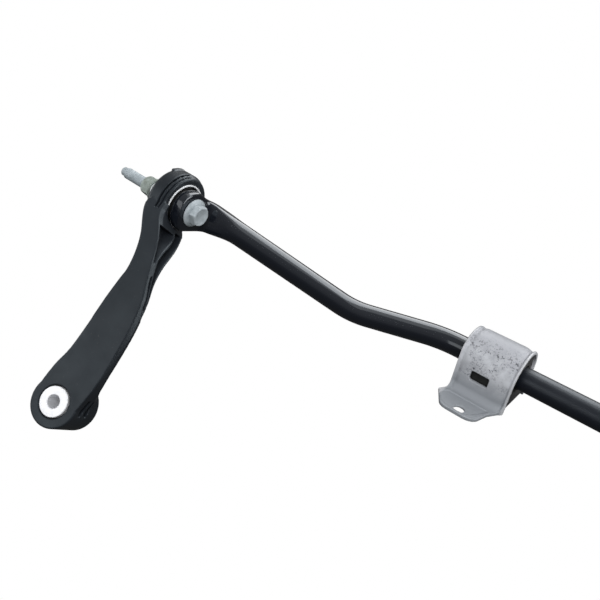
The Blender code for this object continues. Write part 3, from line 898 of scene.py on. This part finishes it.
bracket = {
    "x": -249.5,
    "ends": (-27.0, 31.8),
    "domeRadius": 28.8,
    "wall": 3.5,
    "footThick": 3.2,
    "footReach": 66.0,
    "holeY": 57.3,
    "holeRadius": 5.25,
    "fillet": 7.5,
    "leftEdge": (  # distance from the end, and how far the surface drops: a lip, then a groove
        (0, 0.9), (0.5, 0.3), (1.2, 0.0), (2.4, 0.05), (3.2, 0.5), (4.0, 1.0), (4.8, 1.1), (6.0, 0.7),
        (7.5, 0.2), (9.0, 0.0)),
    "rightEdge": (
        (0, 0.9), (0.4, 0.3), (1.2, 0.0), (2.0, 0.2), (2.7, 0.9), (3.4, 1.7), (4.2, 1.8), (5.6, 1.2),
        (8.0, 0.4), (11.0, 0.0)),
    "panel": (  # a foot's sunk panel, in plan
        (-21.5, 38.5), (21.5, 38.5), (18.0, 48.0), (12.5, 57.5), (5.5, 62.4), (-9.5, 62.4), (-18.5, 60.0),
        (-25.2, 50.5), (-25.8, 44.5)),
    "panelDepth": 0.8,
    "windowHalf": 9.5,
    "windowZ": (18.5, 29.0),
    "voxel": 0.5,
}
axisHeight = twistPoint.z


def strapOutline(inset):
    # end view of the solid strap as (y, z), with the feet and their fillets
    top = bracket["footThick"]
    radius = bracket["domeRadius"] - inset
    fillet, reach = bracket["fillet"], bracket["footReach"] + 2
    half = [(reach, 0), (reach, top)]
    half += arcPoints((radius + fillet, top + fillet), fillet, 270, 180, 8)
    dome = arcPoints((0, axisHeight), radius, 0, 180, 60)
    return half + dome + [(-y, z) for y, z in half[::-1]]


def lyingX(rings):
    # rings of (x, outline in y and z)
    return ringLoft([[(x, y, z) for y, z in outline] for x, outline in rings])


def footPlan():
    low, high = bracket["ends"]
    reach = bracket["footReach"]
    front = [(low, 20), (low + 0.5, 25), (low + 1.5, 29), (low + 1.6, 33)]
    front += [(low + 0.4, 37.5), (low - 2.5, 43.5)]
    front += arcPoints((-10.5, reach - 10.5), 10.5, 150, 90, 10)
    front += arcPoints((8.0, reach - 12.5), 12.5, 90, 20, 12)
    front += [(23.0, 43.0), (high - 3.0, 31.5), (high, 28), (high, 20)]
    return front + [(x, -y) for x, y in front[::-1]]


def makeBracket():
    low, high = bracket["ends"]
    rings = [(low + away, strapOutline(drop)) for away, drop in bracket["leftEdge"]]
    rings += [(high - away, strapOutline(drop)) for away, drop in bracket["rightEdge"][::-1]]
    rings = [(low - 4, rings[0][1])] + rings + [(high + 4, rings[-1][1])]
    inner = bracket["domeRadius"] - bracket["wall"]
    outline = [(-inner, -5)] + arcPoints((0, axisHeight), inner, 180, 0, 60) + [(inner, -5)]
    steps = [("INTERSECT", prismBody(footPlan(), -10, 80))]
    steps.append(("DIFFERENCE", lyingX([(-60, outline), (60, outline)])))
    top = bracket["footThick"]
    hole = bracket["holeRadius"]
    for side in (-1, 1):
        drill = turnedBody([(0, -5), (hole, -5), (hole, 15), (0, 15)], 64)
        drill.transform(Matrix.Translation((0, side * bracket["holeY"], 0)))
        panel = softCorners([(x, side * y) for x, y in bracket["panel"]], 2.5, 4)
        sunk = prismBody(panel, top - bracket["panelDepth"], top + 6)
        steps += [("DIFFERENCE", drill), ("DIFFERENCE", sunk)]
    half, (bottom, topZ) = bracket["windowHalf"], bracket["windowZ"]
    corners = softCorners([(-half, bottom), (half, bottom), (half, topZ), (-half, topZ)], 2.4, 5)
    window = ringLoft([[(x, y, z) for x, z in corners] for y in (-40, -20)])
    steps.append(("DIFFERENCE", window))
    crisp = cutAndJoin("bracket", rawMesh("bracket", lyingX(rings)), steps)
    voxel = bracket["voxel"] * 1.0
    skin = mouldSkin(crisp, voxel, 3, 0.5)
    skin.transform(Matrix.Translation((bracket["x"] * mm, 0, 0)))
    return smoothed(skin, "bracket", 60)


bracketMesh = makeBracket()
print("bracket:", len(bracketMesh.polygons), "faces")
addPair("bracket", bracketMesh, "bracketAluminium", "frame", "bracket_{}")


# Bushing: a D-shaped rubber block, slit at the back so that it opens over the bar

bushing = {"ends": (-24.5, 29.4), "radius": 25.0, "bore": 12.3, "slit": 0.6, "soft": 1.1}


def makeBushing():
    low, high = bushing["ends"]
    soft = bushing["soft"]
    rings = []
    for x, inset in ((low, soft), (low + 0.3, 0.45 * soft), (low + soft, 0), (high - soft, 0),
                     (high - 0.3, 0.45 * soft), (high, soft)):
        radius = bushing["radius"] - inset
        outline = [(radius, inset)] + arcPoints((0, axisHeight), radius, 0, 180, 60) + [(-radius, inset)]
        rings.append((x, outline))
    alongX = Matrix.Translation((0, 0, axisHeight)) @ Matrix.Rotation(math.radians(90), 4, "Y")
    bore = bushing["bore"]
    steps = []
    for end, out in ((low, -1), (high, 1)):
        # a raised lip hugs the bar at each end
        outline = softCorners([(bore + 0.2, end - 1.5 * out), (bore + 3.4, end - 1.5 * out),
                               (bore + 2.8, end + 0.9 * out), (bore + 0.8, end + 0.9 * out)], 0.6, 3)
        lip = turnedBody(outline, 72)
        lip.transform(alongX)
        steps.append(("UNION", lip))
    hole = [(0, low - 9), (bore + 3, low - 9), (bore, low + 0.6)]
    hole += [(bore, high - 0.6), (bore + 3, high + 9), (0, high + 9)]
    drill = turnedBody(hole, 72)
    drill.transform(alongX)
    steps.append(("DIFFERENCE", drill))
    slit = bushing["slit"]
    cut = lyingX([(x, [(5, axisHeight - slit), (40, axisHeight - slit), (40, axisHeight + slit),
                       (5, axisHeight + slit)]) for x in (low - 9, high + 9)])
    steps.append(("DIFFERENCE", cut))
    mesh = cutAndJoin("bushing", rawMesh("bushing", lyingX(rings)), steps)
    mesh.transform(Matrix.Translation((bracket["x"] * mm, 0, 0)))
    return smoothed(mesh, "bushing")


addPair("bushing", makeBushing(), "bushRubber", "frame", "bar_bushing_{}")
print("brackets and bushings made")


# Bushes in the link's two eyes

upperBush = {
    "ring": (21.2, 22.7, 7.0, 29.5),  # bore radius, radius, and both ends from the middle of the bar's eye
    "tube": (6.3, 9.5, 5.8, 46.7),
}
lowerBush = {"rubber": (14.3, 18.5), "tube": (6.1, 14.0), "half": 18.8}


def tubeOutline(bore, radius, low, high, chamfer):
    corners = [(bore, low), (radius, low), (radius, high), (bore, high)]
    return softCorners(corners, chamfer, 4)


def upperRubberOutline():
    bore, radius = upperBush["tube"][1] + 0.3, upperBush["ring"][0] - 0.3
    start, end = upperBush["ring"][2], upperBush["ring"][3]
    corners = [(bore, start - 0.9), (12.8, start - 0.9), (16.9, start + 0.9), (17.7, start + 3.4)]
    corners += [(19.7, start + 3.4), (radius, start + 1.6), (radius, end - 1.6), (19.7, end - 3.4)]
    corners += [(17.4, end - 3.4), (16.2, end - 1.4), (13.2, end - 0.8), (bore, end - 0.8)]
    return softCorners(corners, 0.9, 4)


def lowerRubberOutline(face):
    bore, radius = lowerBush["rubber"]
    back = -link["lowerBack"]
    corners = [(bore, back + 1.2), (15.4, back + 0.9), (16.4, back + 2.6), (17.4, back + 0.9)]
    corners.append((radius, back + 1.2))
    front = face - link["lipThick"] - 0.4
    return softCorners(corners + [(radius, front), (bore, front)], 0.5, 4)


faceDepth = link["front"] - (linkPlace.inverted() @ sleevePoint).z
half = lowerBush["half"]
bushPieces = (  # piece, body, node, outline, sides, finish, slot; {} stands for the side
    ("upperRing", "link_{}", "upper_bush_ring_{}", tubeOutline(*upperBush["ring"], 0.3), 128,
     "steel{}", "bush_steel"),
    ("upperRubber", "link_{}", "upper_bush_rubber_{}", upperRubberOutline(), 112,
     "bushRubber", "bush_rubber"),
    ("upperTube", "bar", "upper_bush_tube_{}", tubeOutline(*upperBush["tube"], 0.5), 80,
     "steel{}", "bush_steel"),
    ("lowerRubber", "link_{}", "lower_bush_rubber_{}", lowerRubberOutline(faceDepth), 112,
     "bushRubber", "bush_rubber"),
    ("sleeve", "sleeve_{}", "lower_bush_tube_{}", tubeOutline(*lowerBush["tube"], -half, half, 0.8), 112,
     "sleeve{}", "sleeve_aluminium"),
)
for side in ("left", "right"):
    for piece, body, node, outline, sides, finish, slot in bushPieces:
        place = boltPlaces[side] if piece.startswith("upper") else sleevePlaces[side]
        mesh = finishMesh(piece, turnedBody(outline, sides), place)
        addPiece(piece + side.title(), mesh, finish.format(side), body.format(side), node.format(side))
print("bushes made")


# Bolt and nut

bolt = {
    "seat": -5.8,
    "flangeRadius": 14.0,
    "flats": 18.0,
    "headEnd": -16.3,
    "shank": 6.0,
    "core": 5.2,
    "headTurn": -17,
    "crest": 5.85,
    "threadFrom": 59.5,
    "threadTo": 91.0,
    "pitch": 1.5,
    "tip": 96.0,
}
nut = {"start": 47.0, "end": 61.5, "flangeRadius": 11.8, "bore": 6.3, "turn": 12}


def threadRidge():
    # a ridge wound round +Z, thinning out at both ends
    tree = bpy.data.node_groups.new("threadRidge", "GeometryNodeTree")
    addSocket(tree, "Core", "NodeSocketGeometry")
    sizes = ("Turns", "Length", "Radius", "Height")
    sockets = {name: addSocket(tree, name, "NodeSocketFloat") for name in sizes}
    sockets["Finish"] = addSocket(tree, "Finish", "NodeSocketMaterial")
    addSocket(tree, "Thread", "NodeSocketGeometry", "OUTPUT")
    given = tree.nodes.new("NodeGroupInput").outputs
    wind = addNode(
        tree, "GeometryNodeCurveSpiral", Resolution=48, Rotations=given["Turns"], Height=given["Length"],
        Start_Radius=given["Radius"], End_Radius=given["Radius"])
    stand = addNode(tree, "GeometryNodeSetCurveNormal", {"mode": "Z_UP"}, Curve=wind.outputs["Curve"])
    ridge = addNode(tree, "GeometryNodeCurvePrimitiveCircle", Resolution=4, Radius=given["Height"])
    where = addNode(tree, "GeometryNodeSplineParameter").outputs["Factor"]
    rise = remap(tree, maths(tree, "PINGPONG", where, 0.5), 0.0, 0.03, 0.05, 1.0)
    sweep = addNode(
        tree, "GeometryNodeCurveToMesh", Curve=stand.outputs["Curve"], Profile_Curve=ridge.outputs["Curve"],
        Scale=rise, Fill_Caps=True)
    both = addNode(tree, "GeometryNodeJoinGeometry", Geometry=sweep.outputs["Mesh"])
    feed(tree, both, Geometry=given["Core"])
    endTree(tree, both.outputs["Geometry"], given["Finish"], "Thread")
    return tree, sockets


def makeBolt(tree, sockets):
    seat, shank, core, tip = bolt["seat"], bolt["shank"], bolt["core"], bolt["tip"]
    far, start, end = bolt["flangeRadius"], bolt["threadFrom"], bolt["threadTo"]
    body = [(0, seat - 3.4), (10.2, seat - 3.4), (13.5, seat - 1.7), (far, seat - 1.2), (far, seat - 0.3)]
    body += [(far - 0.4, seat), (shank, seat), (shank, start - 0.8), (core, start), (core, end)]
    body += [(4.5, end + 1.2), (4.5, tip - 0.7), (3.9, tip), (0, tip)]
    top = bolt["headEnd"]
    head = [(0, top + 0.2), (7.4, top + 0.2), (7.8, top), (8.7, top), (9.3, top + 0.3), (10.6, top + 1.3)]
    head += [(10.6, seat - 2.6), (0, seat - 2.6)]
    hexBody = turnedBody(head, 120, bolt["flats"])
    hexBody.transform(Matrix.Rotation(math.radians(bolt["headTurn"]), 4, "Z"))
    mesh = cutAndJoin("bolt", rawMesh("bolt", turnedBody(body, 120)), [("UNION", hexBody)])
    mesh.transform(Matrix.Translation((0, 0, -start * mm)))
    thing = workObject("boltThread", mesh)
    wind = thing.modifiers.new("wind", "NODES")
    wind.node_group = tree
    length = end - start
    wind[sockets["Turns"]] = length / bolt["pitch"]
    wind[sockets["Length"]] = length * mm
    wind[sockets["Radius"]] = core * mm
    wind[sockets["Height"]] = (bolt["crest"] - core) * mm
    wind[sockets["Finish"]] = finishes["boltZinc"]
    made = bakeModifiers(thing)
    made.transform(Matrix.Translation((0, 0, start * mm)))
    return made


def makeNut():
    start, end, bore, far = nut["start"], nut["end"], nut["bore"], nut["flangeRadius"]
    prism = [(bore, start + 0.5), (10.6, start + 0.5), (10.6, end - 4.2), (9.8, end - 2.2)]
    prism += [(9.0, end - 0.9), (8.2, end - 0.2), (7.6, end), (bore + 0.7, end), (bore, end - 0.7)]
    flange = [(bore + 1.6, start), (far - 0.3, start), (far, start + 0.3), (far, start + 1.0)]
    flange += [(10.4, start + 2.4), (bore + 1.6, start + 3.0)]
    hexBody = rawMesh("nut", turnedBody(prism, 120, bolt["flats"]))
    made = cutAndJoin("nut", hexBody, [("UNION", turnedBody(flange, 120))])
    made.transform(Matrix.Rotation(math.radians(nut["turn"]), 4, "Z"))
    return made


def placeMesh(mesh, place, name):
    moved = mesh.copy()
    moved.transform(Matrix.Translation(place.translation * mm) @ place.to_3x3().to_4x4())
    return smoothed(moved, name, 28)


ridgeTree, ridgeSockets = threadRidge()
boltMesh = makeBolt(ridgeTree, ridgeSockets)
nutMesh = makeNut()
for side, place in boltPlaces.items():
    for name, mesh in (("bolt", boltMesh), ("nut", nutMesh)):
        addPiece(name + side.title(), placeMesh(mesh, place, name), name + "Zinc",
                 "bar", f"flange_{name}_{side}")
print("bolts and nuts made")


# Studio

studio = {"floor": -0.30, "radius": 4.0, "wall": 5.0, "curve": 1.2}


def glow(name, strength):
    finish = bpy.data.materials.new(name)
    finish.use_nodes = True
    tree = finish.node_tree
    tree.nodes.clear()
    light = addNode(tree, "ShaderNodeEmission", Color=(1, 1, 1, 1), Strength=strength)
    out = tree.nodes.new("ShaderNodeOutputMaterial")
    tree.links.new(light.outputs["Emission"], out.inputs["Surface"])
    return finish


def makeStudio():
    # a white bowl that is seen but doesn't light or reflect
    floor, radius, curve = studio["floor"], studio["radius"], studio["curve"]
    outline = [(0, floor), (radius - curve, floor)]
    outline += arcPoints((radius - curve, floor + curve), curve, 270, 360, 12) + [(radius, studio["wall"])]
    bowl = finishMesh("bowl", turnedBody([(r / mm, z / mm) for r, z in outline], 64))
    bowl.materials.append(glow("studioWhite", 1.0))
    thing = workObject("studioBowl", bowl)
    thing.visible_diffuse = False
    thing.visible_glossy = False
    thing.visible_transmission = False
    thing.visible_shadow = False


def skyLight():
    world = bpy.data.worlds.new("sky")
    bpy.context.scene.world = world
    world.use_nodes = True
    tree = world.node_tree
    tree.nodes.clear()
    space = addNode(tree, "ShaderNodeTexCoord").outputs["Generated"]
    height = addNode(tree, "ShaderNodeSeparateXYZ", Vector=space).outputs["Z"]
    level = remap(tree, height, -1.0, 1.0, 0.0, 1.0)
    colour = ramp(tree, level, ((0.30, 0.07), (0.48, 0.12), (0.56, 0.22), (0.75, 0.30), (1.0, 0.38)))
    light = addNode(tree, "ShaderNodeBackground", Color=colour, Strength=0.9)
    out = tree.nodes.new("ShaderNodeOutputWorld")
    tree.links.new(light.outputs["Background"], out.inputs["Surface"])


def softbox(name, place, target, size, power, diffuse=True, glossy=True):
    data = bpy.data.lights.new(name, "AREA")
    data.shape = "RECTANGLE"
    data.size, data.size_y = size
    data.energy = power
    lamp = bpy.data.objects.new(name, data)
    bpy.context.scene.collection.objects.link(lamp)
    way = Vector(target) - Vector(place)
    lamp.matrix_world = Matrix.Translation(place) @ way.to_track_quat("-Z", "Y").to_matrix().to_4x4()
    lamp.visible_camera = False
    lamp.visible_diffuse = diffuse
    lamp.visible_glossy = glossy


makeStudio()
skyLight()
softbox("rear", (-0.3, 1.10, 1.32), (-0.35, 0.0, 0.0), (2.6, 1.45), 44, diffuse=False)
softbox("overhead", (-0.3, 0.2, 1.7), (-0.35, 0.0, 0.0), (2.4, 0.9), 5)
softbox("front", (-1.0, -1.9, 0.72), (-0.5, -0.2, 0.0), (1.5, 1.0), 5.5)
softbox("fill", (0.55, -1.2, 1.35), (-0.35, 0.0, 0.0), (1.2, 1.0), 44, glossy=False)
softbox("rightSide", (1.6, 1.0, 0.2), (-0.4, -0.1, 0.05), (1.3, 1.1), 19)
softbox("leftSide", (-1.8, -0.7, 0.1), (-0.5, -0.2, 0.0), (0.9, 0.9), 4)


def placeCamera():
    data = bpy.data.cameras.new("camera")
    data.lens = 36
    data.sensor_width = 36
    data.clip_start = 0.01
    data.dof.use_dof = False
    camera = bpy.data.objects.new("camera", data)
    bpy.context.scene.collection.objects.link(camera)
    right = Vector((0.7507, 0.6386, 0.1692)).normalized()
    ahead = Vector((-0.5149, 0.7261, -0.4558)).normalized()
    up = right.cross(ahead).normalized()
    turn = Matrix((right, up, -ahead)).transposed().to_4x4()
    camera.matrix_world = Matrix.Translation((-0.1135, -0.5366, 0.3237)) @ turn
    bpy.context.scene.camera = camera


placeCamera()
bpy.context.scene.view_settings.view_transform = "Standard"
